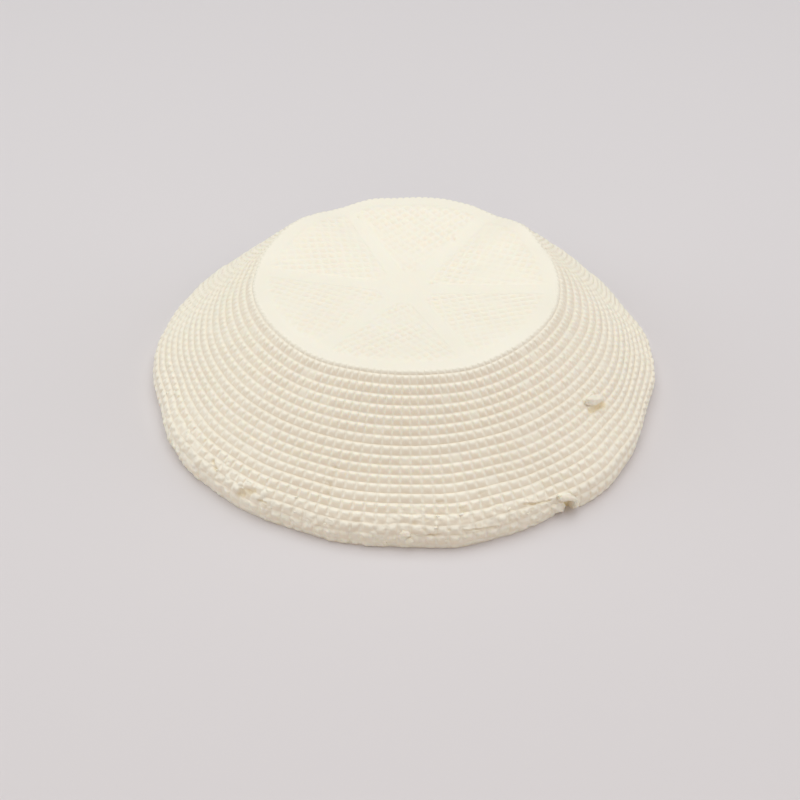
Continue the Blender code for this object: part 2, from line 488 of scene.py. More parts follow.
@dataclass
class Bumps:
    """Square bumps that the basket's openings left, row by row.

    Every bump has a ledge that rises to its edge and a steep face under it.
    Low walls stand between the bumps of a row and sink at the creases. Marks
    are places down a row, 0 on its crease and 1 on the next, and the shades
    are how much painted shade darkens the steep faces, the walls and the
    bumps' sides there. The usual size is the mean and the spread of how high
    the bumps stand.
    """

    basket: Basket
    marks: tuple = (0.0, 0.12, 0.22, 0.31, 0.42, 0.55, 0.68, 0.80, 0.91)
    edge_at: float = 0.35
    edge_height: float = 0.82
    ledge_curve: float = 1.4
    face_curve: float = 1.5
    wall_marks: tuple = (0.0, 0.10, 0.24, 0.40, 0.62, 0.90, 1.0)
    wall_heights: tuple = (0.10, 0.20, 0.24, 0.20, 0.26, 0.29, 0.10)
    groove: tuple = (0.05, 0.21)
    soft_groove: float = 0.22
    row_sizes: tuple = (1.0, 1.1, 1.15, 1.05, 0.65)
    # Painted shade by place down the row: on the steep faces, in the gaps between bumps and on the
    # bumps' sides.
    tint_marks: tuple = (0.0, 0.10, 0.20, 0.45, 0.62, 1.0)
    face_shades: tuple = (0.60, 0.15, 0.0, 0.08, 0.50, 0.60)
    gap_marks: tuple = (0.0, 0.12, 0.30, 0.50, 0.70, 1.0)
    gap_shades: tuple = (0.50, 0.10, 0.06, 0.06, 0.02, 0.28)
    side_marks: tuple = (0.0, 0.15, 0.33, 0.50, 0.75, 1.0)
    side_shades: tuple = (0.0, 0.20, 0.48, 0.42, 0.12, 0.0)
    seed: int = 11
    rows: int = 18
    usual_size: tuple = (0.98, 0.10)
    weak_share: float = 0.03
    weak_size: float = 0.6
    size_limits: tuple = (0.4, 1.15)
    size_rows: tuple = (0.0, 14.0, 15.0, 16.0, 17.0)

    def size_of_each(self) -> np.ndarray:
        """Draw how high every bump stands.

        Returns:
            Height factor of each bump, by row and column.
        """
        draw = np.random.default_rng(self.seed)
        factors = draw.normal(*self.usual_size, (self.rows, self.basket.columns))
        weak = draw.random(factors.shape) < self.weak_share
        factors[weak] *= self.weak_size
        return np.clip(factors, *self.size_limits)

    def standing(self, across: np.ndarray, worn: np.ndarray | float = 0.0) -> np.ndarray:
        """Share of the bump's own height across it, 0 on the walls.

        Args:
            across: Place across the bump, 0 and 1 on the walls.
            worn: How far the bumps are rounded off, 0 to 1.

        Returns:
            The share at each point.
        """
        edge = np.minimum(across, 1.0 - across)
        return ease(self.groove[0], self.groove[1] + self.soft_groove * worn, edge)

    def height(
        self, row: np.ndarray, across: np.ndarray, factor: np.ndarray, worn: np.ndarray
    ) -> np.ndarray:
        """How far the bumps and walls stand off the creases' line.

        Args:
            row: Row coordinate of each point.
            across: Place across the bump, 0 and 1 on the walls.
            factor: Height factor of the bump that each point lies on.
            worn: How far the bumps are rounded off, 0 to 1.

        Returns:
            Height of each point over the line.
        """
        share = row - np.floor(row)
        up = np.clip(share / self.edge_at, 0.0, 1.0)
        down = np.clip((share - self.edge_at) / (1.0 - self.edge_at), 0.0, 1.0)
        bump = (1.0 - (1.0 - up) ** self.ledge_curve) * (1.0 - down**self.face_curve)
        size = np.interp(np.floor(row), self.size_rows, self.row_sizes)
        standing = self.standing(across, worn)
        wall = np.interp(share, self.wall_marks, self.wall_heights)
        return size * (wall * (1.0 - standing) + self.edge_height * bump * factor * standing)

    def shade(self, row: np.ndarray, across: np.ndarray) -> np.ndarray:
        """Paint shade on the steep faces, the side faces and the walls.

        Args:
            row: Row coordinate of each point.
            across: Place across the bump, 0 and 1 on the walls.

        Returns:
            How much painted shade each point takes, 0 to 1.
        """
        share = row - np.floor(row)
        tint = np.interp(share, self.tint_marks, self.face_shades)
        gap = np.interp(share, self.gap_marks, self.gap_shades)
        side = np.interp(share, self.side_marks, self.side_shades)
        standing = self.standing(across)
        return gap * (1.0 - standing) + tint * standing + side * 4.0 * standing * (1.0 - standing)


@dataclass
class BrokenCurd:
    """The foot's rough band, where the bumps are half lost and curd shows.

    A grain is layers of height, size and shift. The cover is how high a
    standout is where it starts to hide the bumps, and where it hides them.
    The tongue is the azimuth and half width of a smooth part of the foot.
    Each standout is azimuth, row, half length, half width and height of a
    soft lump, and how far it leans against the row, in radians.
    """

    basket: Basket
    edge_azimuths: tuple = (184, 196, 206, 214, 224, 236, 248, 258, 269, 280, 292, 301, 309, 317)
    edge_rows: tuple = (18, 14.5, 12.6, 12.6, 13.0, 13.6, 13.4, 13.2, 12.3, 12.2, 12.6, 13.4, 14.6, 18)
    edge_grain: tuple = ((0.9, 5.0, 3.0),)
    blend_rows: float = 3.4
    most: float = 0.64
    fill: float = 0.16
    warp_size: float = 6.0
    row_warp: float = 0.35
    azimuth_warp: float = 1.0
    kept_seed: int = 17
    kept_size: tuple = (0.5, 1.25)
    lost_share: float = 0.2
    lost_size: float = 0.25
    lump_seed: int = 5
    lump_count: int = 900
    lump_radius: tuple = (0.65, 1.3)
    lump_length: tuple = (1.0, 1.7)
    lump_height: tuple = (0.40, 0.95)
    lump_lean: float = 0.5
    lump_azimuths: tuple = (186.0, 316.0)
    lump_rows: tuple = (12.3, 17.5)
    hole_count: int = 26
    hole_radius: tuple = (0.35, 0.7)
    hole_length: float = 1.6
    hole_azimuths: tuple = (200.0, 306.0)
    hole_rows: tuple = (12.6, 15.6)
    hole_depth: float = 0.5
    # Painted shade: how strongly the holes take the tan colour.
    hole_shade: float = 0.45
    cover: tuple = (0.1, 0.5)
    smooth_rows: tuple = (16.1, 17.1)
    smoothness: float = 0.60
    tongue: tuple = (282.0, 12.0)
    tongue_rows: tuple = (15.9, 16.5)
    tongue_smoothness: float = 0.8
    skin_grain: tuple = ((0.05, 1.3, 2.0),)
    curd_grain: tuple = ((0.45, 7.0, 8.0), (0.30, 2.6, 1.0), (0.20, 1.1, 5.0))
    standouts: tuple = (
        (263.9, 15.9, 1.5, 0.8, 0.75, 0.1),
        (254.8, 15.4, 1.7, 0.7, 0.7, -0.1),
        (255.8, 16.6, 2.0, 0.8, 0.7, 0.2),
        (290.1, 14.3, 1.3, 0.8, 0.7, 0.0),
        (212.7, 14.2, 1.3, 1.0, 0.9, 0.2),
        (219.4, 16.2, 1.6, 1.3, 0.8, 0.0),
        (227.9, 13.9, 1.2, 1.0, 0.8, 0.0),
        (229.5, 15.0, 1.7, 0.9, 0.8, 0.4),
        (231.6, 16.4, 1.2, 1.1, 0.6, 0.0),
        (239.3, 14.75, 1.45, 1.6, 1.25, 0.0),
        (241.9, 15.3, 1.2, 1.2, 0.7, 0.0),
        (233.2, 14.9, 1.3, 0.8, 1.0, -0.5),
        (234.9, 14.5, 1.6, 0.7, 0.9, -0.2),
        (244.5, 16.4, 1.4, 1.0, 0.7, 0.3),
        (250.2, 15.9, 1.3, 0.8, 0.7, 0.5),
        (304.0, 16.6, 1.9, 2.3, 0.85, 0.0),
        (298.8, 16.3, 1.9, 1.2, 0.6, 0.0),
        (326.6, 8.65, 3.1, 2.1, 1.1, 0.6),
    )

    def brokenness(self, azimuth: np.ndarray, row: np.ndarray, points: np.ndarray) -> np.ndarray:
        """Find how far the bumps are lost.

        Args:
            azimuth: Azimuth of each point.
            row: Row coordinate of each point.
            points: The points themselves.

        Returns:
            How far each point is broken, 0 to 1.
        """
        edge = np.interp(azimuth, self.edge_azimuths, self.edge_rows)
        edge = edge + grains(points, self.edge_grain)
        return self.most * ease(0.0, self.blend_rows, row - edge)

    def warp(
        self, azimuth: np.ndarray, row: np.ndarray, points: np.ndarray, broken: np.ndarray
    ) -> tuple:
        """Pull the bumps' rows and columns out of line where the curd is broken.

        Args:
            azimuth: Azimuth of each point.
            row: Row coordinate of each point.
            points: The points themselves.
            broken: How far the bumps are lost at each point.

        Returns:
            The azimuth and row at which each point reads the bumps.
        """
        shift = self.row_warp * broken * grain(points, self.warp_size, 11.0)
        turn = self.azimuth_warp * broken * grain(points, self.warp_size, 23.0)
        return azimuth + turn, np.clip(row + shift, 0.0, 17.7)

    def kept(self, shape: tuple) -> np.ndarray:
        """Draw how high every bump stands where the curd is broken.

        Args:
            shape: How many rows and columns there are.

        Returns:
            Height factor of each bump, by row and column.
        """
        draw = np.random.default_rng(self.kept_seed)
        factors = draw.uniform(*self.kept_size, shape)
        factors[draw.random(shape) < self.lost_share] *= self.lost_size
        return factors

    def relief(self, azimuth: np.ndarray, row: np.ndarray) -> tuple:
        """Height of the lumpy curd and depth of its holes.

        Args:
            azimuth: Azimuth of each point.
            row: Row coordinate of each point.

        Returns:
            Soft lumps, standouts and holes of each point, the holes 0 to 1.
        """
        draw = random.Random(self.lump_seed)
        relief = np.zeros_like(row)
        for _ in range(self.lump_count):
            size = draw.uniform(*self.lump_radius)
            where = draw.uniform(*self.lump_azimuths), draw.uniform(*self.lump_rows)
            sizes = size * draw.uniform(*self.lump_length), size
            tall = size * draw.uniform(*self.lump_height)
            lean = draw.uniform(-self.lump_lean, self.lump_lean)
            near = self._distance(where, lean, azimuth, row, sizes)
            relief = np.maximum(relief, tall * np.clip(1.0 - near**2, 0.0, 1.0))
        middle, half_width = self.tongue
        tongue = hump(turn_from(middle, azimuth), half_width) * ease(*self.tongue_rows, row)
        calm = 1.0 - self.smoothness * ease(*self.smooth_rows, row)
        calm = calm * (1.0 - self.tongue_smoothness * tongue)
        holes = np.zeros_like(row)
        for _ in range(self.hole_count):
            size = draw.uniform(*self.hole_radius)
            where = draw.uniform(*self.hole_azimuths), draw.uniform(*self.hole_rows)
            near = self._distance(where, 0.0, azimuth, row, (size * self.hole_length, size))
            holes = np.maximum(holes, np.clip(1.0 - near**2, 0.0, 1.0))
        stand = np.zeros_like(row)
        for middle, level, length, width, tall, lean in self.standouts:
            near = self._distance((middle, level), lean, azimuth, row, (length, width))
            stand = np.maximum(stand, tall * np.clip(1.0 - near**2, 0.0, 1.0) ** 0.7)
        return relief * calm, stand, holes

    def _distance(
        self, where: tuple, lean: float, azimuth: np.ndarray, row: np.ndarray, sizes: tuple
    ) -> np.ndarray:
        """Distance from a lump's middle, 1 at its edge.

        Args:
            where: Azimuth and row of the lump's middle.
            lean: How far it leans against the row, in radians.
            azimuth: Azimuth of each point.
            row: Row coordinate of each point.
            sizes: Half length along the row and half width down it.

        Returns:
            The distance of each point.
        """
        radius = self.basket.line(np.array([where[1]]))[0][0]
        along = np.radians(turn_from(where[0], azimuth)) * radius
        down = (row - where[1]) * math.hypot(self.basket.row_run, self.basket.row_drop)
        near = np.full(row.shape, 2.0)
        reach = max(sizes) * 1.2
        close = (np.abs(along) < reach) & (np.abs(down) < reach)
        turned = along[close] * math.cos(lean) + down[close] * math.sin(lean)
        across = down[close] * math.cos(lean) - along[close] * math.sin(lean)
        near[close] = np.hypot(turned / sizes[0], across / sizes[1])
        return near


@dataclass
class Tears:
    """Cracks, slits and hollows torn in the skin.

    Each line is first azimuth, last azimuth, first row, last row, half
    width, depth, how far the lip above it bulges, and how much painted
    shade tans its inside. Each hollow is its azimuths and rows, left, right,
    top and foot, the slant of its sides in degrees for each row, its depth
    and how much painted shade tans it.
    Widths and depths are in millimetres.
    """

    basket: Basket
    lines: tuple = (
        (253.2, 253.1, 9.9, 12.9, 0.20, 0.5, 0.0, 0.22),
        (253.3, 256.3, 10.0, 10.15, 0.22, 0.4, 0.0, 0.18),
        (251.4, 253.1, 11.7, 11.65, 0.20, 0.4, 0.0, 0.18),
        (272.7, 277.5, 16.1, 15.85, 0.26, 0.40, 0.2, 0.10),
        (282.1, 289.2, 15.65, 16.0, 0.28, 0.45, 0.2, 0.14),
        (295.8, 298.4, 14.65, 15.0, 0.34, 0.65, 0.3, 0.30),
        (298.9, 302.2, 15.05, 15.3, 0.34, 0.65, 0.3, 0.32),
        (286.4, 288.2, 12.55, 12.5, 0.34, 0.28, 0.25, 0.22),
        (277.2, 278.4, 12.8, 12.75, 0.32, 0.25, 0.25, 0.15),
        (281.9, 283.1, 13.6, 13.55, 0.32, 0.25, 0.25, 0.15),
        (233.5, 234.7, 15.95, 15.7, 1.05, 0.8, 0.3, 0.38),
        (234.3, 236.0, 15.4, 15.25, 1.15, 0.9, 0.35, 0.40),
        (235.9, 237.1, 15.1, 14.85, 0.7, 0.7, 0.25, 0.36),
        (238.5, 240.4, 15.45, 15.45, 0.30, 0.6, 0.0, 0.40),
        (223.9, 224.5, 14.5, 14.65, 0.55, 0.5, 0.2, 0.40),
        (225.4, 226.0, 14.9, 15.05, 0.55, 0.5, 0.2, 0.40),
        (324.6, 329.6, 9.6, 10.1, 1.35, 0.50, 0.0, 0.62),
    )
    hollows: tuple = (
        (305.15, 307.25, 16.05, 19.0, 0.30, 2.6, 0.70),
        (303.1, 304.75, 17.25, 19.0, 0.9, 1.0, 0.5),
    )
    wall: float = 0.35
    wander_grain: tuple = ((0.38, 1.7, 4.0),)

    def relief(self, azimuth: np.ndarray, row: np.ndarray) -> tuple:
        """Relief of the tears, and how much tan painted shade each point in them takes.

        Args:
            azimuth: Azimuth of each point.
            row: Row coordinate of each point.

        Returns:
            Outward relief and painted shade share, 0 to 1, of each point.
        """
        radius = self.basket.line(row)[0]
        slant = math.hypot(self.basket.row_run, self.basket.row_drop)
        total = np.zeros_like(row)
        tear_shade = np.zeros_like(row)
        turned = np.radians(azimuth)
        points = np.stack((radius * np.cos(turned), radius * np.sin(turned), row * slant), axis=1)
        wander = grains(points, self.wander_grain)
        for first, last, top, foot, half_width, deep, lip, tone in self.lines:
            run = np.radians(turn_from(first, azimuth)) * radius + wander
            down = (row - top) * slant + wander
            line_run = math.radians(last - first) * radius
            line_down = (foot - top) * slant
            length = line_run**2 + line_down**2
            share = np.clip((run * line_run + down * line_down) / length, 0.0, 1.0)
            away = np.hypot(run - share * line_run, down - share * line_down)
            cut = np.exp(-((away / half_width) ** 3))
            above = down - share * line_down + half_width * 2.2
            swell = np.exp(-((above / (half_width * 1.6)) ** 2))
            swell *= ease(half_width * 5.0, half_width * 2.0, away)
            total += lip * swell - deep * cut
            # Painted shade: the inside of the cut takes the tan colour.
            tear_shade = np.maximum(tear_shade, tone * cut)
        for left, right, top, foot, lean, deep, tone in self.hollows:
            middle = (left + right) / 2 + lean * (row - top)
            half = math.radians(right - left) / 2 * radius
            aside = half - np.abs(np.radians(turn_from(0.0, azimuth - middle)) * radius + wander)
            below = np.minimum(row - top, foot - row) * slant + wander
            inside = ease(0.0, self.wall, aside) * ease(0.0, self.wall * 2.0, below)
            total -= deep * inside
            # Painted shade: the inside of the hollow takes the tan colour.
            tear_shade = np.maximum(tear_shade, tone * inside)
        return total, tear_shade


@dataclass
class NetPetals:
    """Six petals of fine square net pressed into the face."""

    basket: Basket
    pitch: float = 3.2
    line_width: float = 0.95
    depth: float = 0.24
    band: float = 5.4
    inner: float = 10.5
    outer: float = 52.8
    lift: float = 0.22
    phase: float = 0.5
    strength: float = 0.8
    patchy: tuple = ((0.9, 13.0, 9.0),)
    strength_limits: tuple = (0.25, 1.2)

    def relief(self, x: np.ndarray, y: np.ndarray) -> tuple:
        """Relief of the petals and how deep each point lies in a pit.

        Args:
            x: Points' x.
            y: Points' y.

        Returns:
            Relief and pit share of each point.
        """
        radius = np.hypot(x, y)
        azimuth = np.degrees(np.arctan2(y, x))
        sector = 360.0 / self.basket.rib_count
        petal = np.floor((azimuth - self.basket.first_rib) / sector)
        axis = self.basket.first_rib + (petal + 0.5) * sector
        off_axis = np.radians(azimuth - axis)
        to_rib = radius * np.sin(np.radians(sector / 2) - np.abs(off_axis))
        inside = ease(self.band / 2, self.band / 2 + 1.2, to_rib)
        inside *= ease(self.inner, self.inner + 1.5, radius)
        inside *= 1.0 - ease(self.outer - 1.2, self.outer, radius)
        turned = np.radians(azimuth - axis + 45.0)
        across = radius * np.cos(turned) / self.pitch + self.phase
        along = radius * np.sin(turned) / self.pitch + self.phase
        lines = np.maximum(self._line(across), self._line(along))
        points = np.stack((x, y, np.zeros_like(x)), axis=1)
        strength = np.clip(self.strength + grains(points, self.patchy), *self.strength_limits)
        pits = (1.0 - lines) * inside * strength
        return self.lift * inside - self.depth * pits, pits

    def _line(self, place: np.ndarray) -> np.ndarray:
        """Tell the net's threads from its openings.

        Args:
            place: Place across the threads, counted in threads.

        Returns:
            1 on a thread, 0 in the middle of an opening.
        """
        away = np.abs(place - np.round(place)) * self.pitch
        half = self.line_width / 2
        return 1.0 - ease(half * 0.5, half * 2.0, away)


@dataclass
class Piece:
    """Shared steps of every turned piece."""

    basket: Basket
    finish: bpy.types.Material
    sectors: int = 12

    def turn(self, name: str, profile: list) -> bpy.types.Object:
        """Spin an outline into a closed body.

        Args:
            name: Name of the piece.
            profile: Radius and height of each point, from axis to axis.

        Returns:
            The new object, in millimetres.
        """
        bm = bmesh.new()
        verts = [bm.verts.new((radius, 0.0, height)) for radius, height in profile]
        edges = [bm.edges.new(pair) for pair in zip(verts, verts[1:])]
        sector = math.tau / self.sectors
        bmesh.ops.spin(
            bm,
            geom=verts + edges,
            cent=(0.0, 0.0, 0.0),
            axis=(0.0, 0.0, 1.0),
            angle=sector,
            steps=self.basket.steps // self.sectors,
        )
        first = bm.verts[:] + bm.edges[:] + bm.faces[:]
        for index in range(1, self.sectors):
            copy = bmesh.ops.duplicate(bm, geom=first)["geom"]
            turned = [part for part in copy if isinstance(part, bmesh.types.BMVert)]
            bmesh.ops.rotate(bm, verts=turned, matrix=Matrix.Rotation(index * sector, 3, "Z"))
        bmesh.ops.remove_doubles(bm, verts=bm.verts, dist=1e-4)
        self.divide(bm)
        bmesh.ops.recalc_face_normals(bm, faces=bm.faces)
        for face in bm.faces:
            face.smooth = True
        mesh = bpy.data.meshes.new(name)
        bm.to_mesh(mesh)
        bm.free()
        piece = bpy.data.objects.new(name, mesh)
        bpy.context.scene.collection.objects.link(piece)
        return piece

    def divide(self, bm: bmesh.types.BMesh) -> None:
        """Divide the turned body further where it needs finer form."""

    def read(self, piece: bpy.types.Object) -> tuple:
        """Read where each vertex lies, with the columns closer set at the walls.

        Args:
            piece: Object to read.

        Returns:
            Azimuth, radius and height of each vertex.
        """
        co = np.empty(len(piece.data.vertices) * 3)
        piece.data.vertices.foreach_get("co", co)
        co = co.reshape(-1, 3)
        radius = np.hypot(co[:, 0], co[:, 1])
        basket = self.basket
        share = np.degrees(np.arctan2(co[:, 1], co[:, 0])) % 360.0 / 360.0
        column = np.floor(share * basket.columns)
        within = (share * basket.columns - column) * len(basket.spread)
        stops = basket.spread + (1.0 + basket.spread[0],)
        across = np.interp(within, range(len(stops)), stops)
        azimuth = (column + across) * 360.0 / basket.columns + basket.first_groove
        return azimuth % 360.0, radius, co[:, 2]

    def write(
        self,
        piece: bpy.types.Object,
        azimuth: np.ndarray,
        radius: np.ndarray,
        height: np.ndarray,
        painted_shade_and_warmth: np.ndarray,
        hollow_shade: np.ndarray,
        seam: np.ndarray,
        soft: np.ndarray,
    ) -> None:
        """Store the moved vertices in metres, and their finish.

        Args:
            piece: Object to write to.
            azimuth: Azimuth of each vertex.
            radius: Radius of each vertex.
            height: Height of each vertex.
            painted_shade_and_warmth: How much painted shade each vertex takes on steep faces, walls,
                creases and pits, 0 to 1.
            hollow_shade: How much tan painted shade each vertex takes inside a tear, a hole or under
                the flake, 0 to 1.
            seam: True where a vertex lies on the edge of the shown surface.
            soft: How far light may travel in, 0 to 1, at each vertex.
        """
        turned = np.radians(azimuth)
        co = np.stack((radius * np.cos(turned), radius * np.sin(turned), height), axis=1)
        mesh = piece.data
        mesh.vertices.foreach_set("co", inside_box(co * MM).astype(np.float32).ravel())
        for name, values in (("painted_shade_and_warmth", painted_shade_and_warmth), ("hollow_shade", hollow_shade), ("soft", soft)):
            layer = mesh.attributes.new(name, "FLOAT", "POINT")
            layer.data.foreach_set("value", np.clip(values, 0.0, 1.0).astype(np.float32))
        pairs = np.empty(len(mesh.edges) * 2, dtype=np.int32)
        mesh.edges.foreach_get("vertices", pairs)
        sharp = mesh.attributes.new("sharp_edge", "BOOLEAN", "EDGE")
        sharp.data.foreach_set("value", seam[pairs.reshape(-1, 2)].all(axis=1))
        mesh.materials.append(self.finish)
        mesh.update()

    def settle_in(self, piece: bpy.types.Object) -> bpy.types.Object:
        """Tie a finished piece to the body.

        Args:
            piece: The finished piece.

        Returns:
            The same piece.
        """
        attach(piece, BODY)
        return piece


@dataclass
class Face(Piece):
    """Dished top face with its toothed rim."""

    bumps: Bumps | None = None
    petals: NetPetals | None = None
    ring_step: float = 0.80
    under_height: float = 36.0
    rim_start: float = 56.5
    rim_rows: tuple = (-0.80, -0.70, -0.58, -0.46, -0.34, -0.22, -0.10, 0.0)
    rim_marks: tuple = (-0.80, -0.58, -0.46, -0.34, -0.22, -0.10, 0.0)
    rim_rises: tuple = (0.0, 0.34, 0.56, 0.60, 0.48, 0.26, 0.0)
    rim_walls: tuple = (0.0, 0.05, 0.10, 0.16, 0.20, 0.20, 0.10)
    top_gap: float = 0.12
    pinholes: tuple = ((18.7, 30.8, 0.7), (9.8, 3.2, 0.6), (-19.5, 44.8, 0.5))

    def build(self) -> bpy.types.Object:
        """Model the face.

        Returns:
            The finished piece.
        """
        basket = self.basket
        piece = self.turn("top_face", self._profile())
        azimuth, radius, height = self.read(piece)
        column, across = basket.place_of(azimuth)
        shown = height >= basket.face_height(radius) - 0.01
        shown |= (radius > self.rim_start) & (height > basket.crease_height - 0.01)
        seam = shown & (np.abs(radius - basket.crease_radius) < 0.01)
        row = (radius - basket.crease_radius) / basket.row_run

        standing = self.bumps.standing(across)
        wall = np.interp(row, self.rim_marks, self.rim_walls)
        factor = self.bumps.size_of_each()[0, column]
        rise = np.interp(row, self.rim_marks, self.rim_rises) * factor
        rise = wall * (1.0 - standing) + rise * standing
        turned = np.radians(azimuth)
        x, y = radius * np.cos(turned), radius * np.sin(turned)
        relief, pits = self.petals.relief(x, y)
        for hole_x, hole_y, size in self.pinholes:
            near = np.hypot(x - hole_x, (y - hole_y) * 0.7) / size
            hole = np.exp(-(near**2))
            relief -= 0.5 * hole
            pits = np.maximum(pits, hole * 2.2)

        out, up = basket.slope(np.zeros(1))
        new_radius = radius + rise * out
        new_height = np.minimum(height + rise * up, basket.height - self.top_gap) + relief
        new_radius, new_height = basket.settle(azimuth, new_radius, new_height)
        # Painted shade: the deep colour on the rim's steep face and in the net's pits; the pinholes
        # take the same darker colour strongly.
        face = ease(-0.42, -0.1, row) * (0.25 + 0.75 * standing)
        painted_shade_and_warmth = np.where(shown, np.maximum(0.25 * pits, 0.25 * face), 0.0)
        soft = ease(1.0, 6.0, basket.crease_radius - radius)
        radius = np.where(shown, new_radius, radius)
        height = np.where(shown, new_height, height)
        self.write(piece, azimuth, radius, height, painted_shade_and_warmth, np.zeros_like(radius), seam, soft)
        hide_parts(NODE)
        return self.settle_in(piece)

    def _profile(self) -> list:
        """Outline the dish, the rim and the hidden underside.

        Returns:
            Radius and height of each point, from axis to axis.
        """
        basket = self.basket
        radii = np.arange(0.0, self.rim_start, self.ring_step)
        profile = [(r, float(basket.face_height(np.array([r]))[0])) for r in radii]
        for row in self.rim_rows:
            radius = basket.crease_radius + row * basket.row_run
            profile.append((radius, basket.crease_height - row * basket.row_drop))
        profile += [(54.0, 41.0), (44.0, self.under_height), (0.0, self.under_height)]
        return profile


@dataclass
class Flank(Piece):
    """Part of the sloping side, from one crease to another or to the foot.

    Each finer area is first azimuth, last azimuth and first row, and its
    mesh is divided once more than that of the area before.
    """

    bumps: Bumps | None = None
    curd: BrokenCurd | None = None
    tears: Tears | None = None
    name: str = "flank"
    first_row: int = 0
    last_row: float = 7.0
    finer: tuple = ()
    soft_edge: tuple = (0.3, 1.6)

    @property
    def is_foot(self) -> bool:
        """Whether this part reaches the ground."""
        return self.last_row > self.basket.cone_rows + 2

    def build(self) -> bpy.types.Object:
        """Model this part of the flank.

        Returns:
            The finished piece.
        """
        basket = self.basket
        piece = self.turn(self.name, self._profile())
        azimuth, radius, height = self.read(piece)
        row = self._rows_of(radius, height)
        shown = row >= 0.0
        az, t = azimuth[shown], row[shown]

        base_radius, base_height = basket.line(t)
        turned = np.radians(az)
        points = np.stack(
            (base_radius * np.cos(turned), base_radius * np.sin(turned), base_height), axis=1
        )
        broken = self.curd.brokenness(az, t, points)
        lumps, standouts, holes = self.curd.relief(az, t)
        tears, tear_shade = self.tears.relief(az, t)
        whole = 1.0 - ease(*self.curd.cover, standouts)
        bumps, shade = self._bumps_at(*self.curd.warp(az, t, points, broken), broken)
        push = bumps * whole + standouts + tears + grains(points, self.curd.skin_grain)
        fine = grains(points, self.curd.curd_grain)
        push += broken * (self.curd.fill + lumps * whole + fine - self.curd.hole_depth * holes)
        out, up = basket.slope(t)
        new_radius = base_radius + push * out
        new_height = base_height + push * up
        new_radius, new_height = basket.settle(az, new_radius, np.maximum(new_height, 0.02))
        new_height = np.where(base_height < 1e-3, 0.0, np.maximum(new_height, 0.02))
        radius[shown], height[shown] = new_radius, new_height

        painted_shade_and_warmth, hollow_shade, soft = np.zeros((3, len(radius)))
        # Painted shade of the bumps, weaker where lumps cover them or the curd breaks them.
        painted_shade_and_warmth[shown] = shade * whole * (1.0 - 0.2 * broken)
        # Painted shade, tan, inside tears, holes and under the flake.
        hollow_shade[shown] = np.maximum(tear_shade, self.curd.hole_shade * holes * broken)
        soft[shown] = self._softness(t)
        self.write(piece, azimuth, radius, height, painted_shade_and_warmth, hollow_shade, self._seam(row), soft)
        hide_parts(NODE)
        return self.settle_in(piece)

    def _bumps_at(self, azimuth: np.ndarray, row: np.ndarray, broken: np.ndarray) -> tuple:
        """Height and painted shade of the bumps, weaker where the curd is broken.

        Args:
            azimuth: Azimuth at which each point reads the bumps.
            row: Row coordinate at which it reads them.
            broken: How far the bumps are lost there.

        Returns:
            Height and painted shade of each point.
        """
        column, across = self.basket.place_of(azimuth)
        factors = self.bumps.size_of_each()
        which = np.clip(np.floor(row).astype(int), 0, len(factors) - 1)
        factor = factors[which, column] * (1.0 - broken)
        factor += self.curd.kept(factors.shape)[which, column] * broken
        height = self.bumps.height(row, across, factor, broken)
        return height, self.bumps.shade(row, across) * np.clip(factor, 0.0, 1.0)

    def divide(self, bm: bmesh.types.BMesh) -> None:
        """Divide the mesh once in every finer area, one inside the other.

        Args:
            bm: The turned body.
        """
        for first, last, top in self.finer:
            radius = float(self.basket.line(np.array([top]))[0][0]) - 0.01
            inside = set()
            for vertex in bm.verts:
                turned = math.degrees(math.atan2(vertex.co.y, vertex.co.x)) % 360.0
                if first < turned < last and vertex.co.xy.length > radius:
                    inside.add(vertex)
            edges = [edge for edge in bm.edges if inside.issuperset(edge.verts)]
            bmesh.ops.subdivide_edges(bm, edges=edges, cuts=1, use_grid_fill=True)

    def _softness(self, row: np.ndarray) -> np.ndarray:
        """Let less light travel near the edges that meet another piece.

        Args:
            row: Row coordinate of each point.

        Returns:
            How far light may travel in, 0 to 1.
        """
        soft = ease(*self.soft_edge, row - self.first_row)
        if not self.is_foot:
            soft *= ease(*self.soft_edge, self.last_row - row)
        return soft

    def _seam(self, row: np.ndarray) -> np.ndarray:
        """Vertices on the first and the last ring of the shown surface."""
        return (np.abs(row - self.first_row) < 1e-3) | (np.abs(row - self.last_row) < 1e-3)

    def _marks(self) -> np.ndarray:
        """List the rings of the shown surface.

        Returns:
            Row coordinate of each ring.
        """
        count = math.ceil(self.last_row)
        rows = [row + mark for row in range(self.first_row, count) for mark in self.bumps.marks]
        rows = [row for row in rows if row < self.last_row - 0.03]
        return np.array(rows + [self.last_row])

    def _profile(self) -> list:
        """Outline the shown surface and the hidden inside behind it.

        Returns:
            Radius and height of each point, from axis to axis.
        """
        radius, height = self.basket.line(self._marks())
        rings = list(zip(radius.tolist(), height.tolist()))
        top = (rings[0][0] - 3.0, rings[0][1] - 1.4)
        profile = [(0.0, top[1] - 3.0), (top[0] - 6.0, top[1] - 3.0), top] + rings
        if self.is_foot:
            return profile + [(96.0, 0.0), (0.0, 0.0)]
        foot = (rings[-1][0] - 3.0, rings[-1][1] - 1.4)
        return profile + [foot, (foot[0] - 6.0, foot[1] - 3.0), (0.0, foot[1] - 3.0)]

    def _rows_of(self, radius: np.ndarray, height: np.ndarray) -> np.ndarray:
        """Find the ring that each vertex of the shown surface lies on.

        Args:
            radius: Radius of each vertex.
            height: Height of each vertex.

        Returns:
            Row coordinate of each vertex, or -1 where it is hidden.
        """
        marks = self._marks()
        line_radius, line_height = self.basket.line(marks)
        rows = np.round(np.interp(-height, -line_height, marks), 4)
        shown = np.abs(radius - np.interp(rows, marks, line_radius)) < 0.01
        shown &= (height < line_height[0] + 0.01) & (height > line_height[-1] - 0.01)
        return np.where(shown, rows, -1.0)


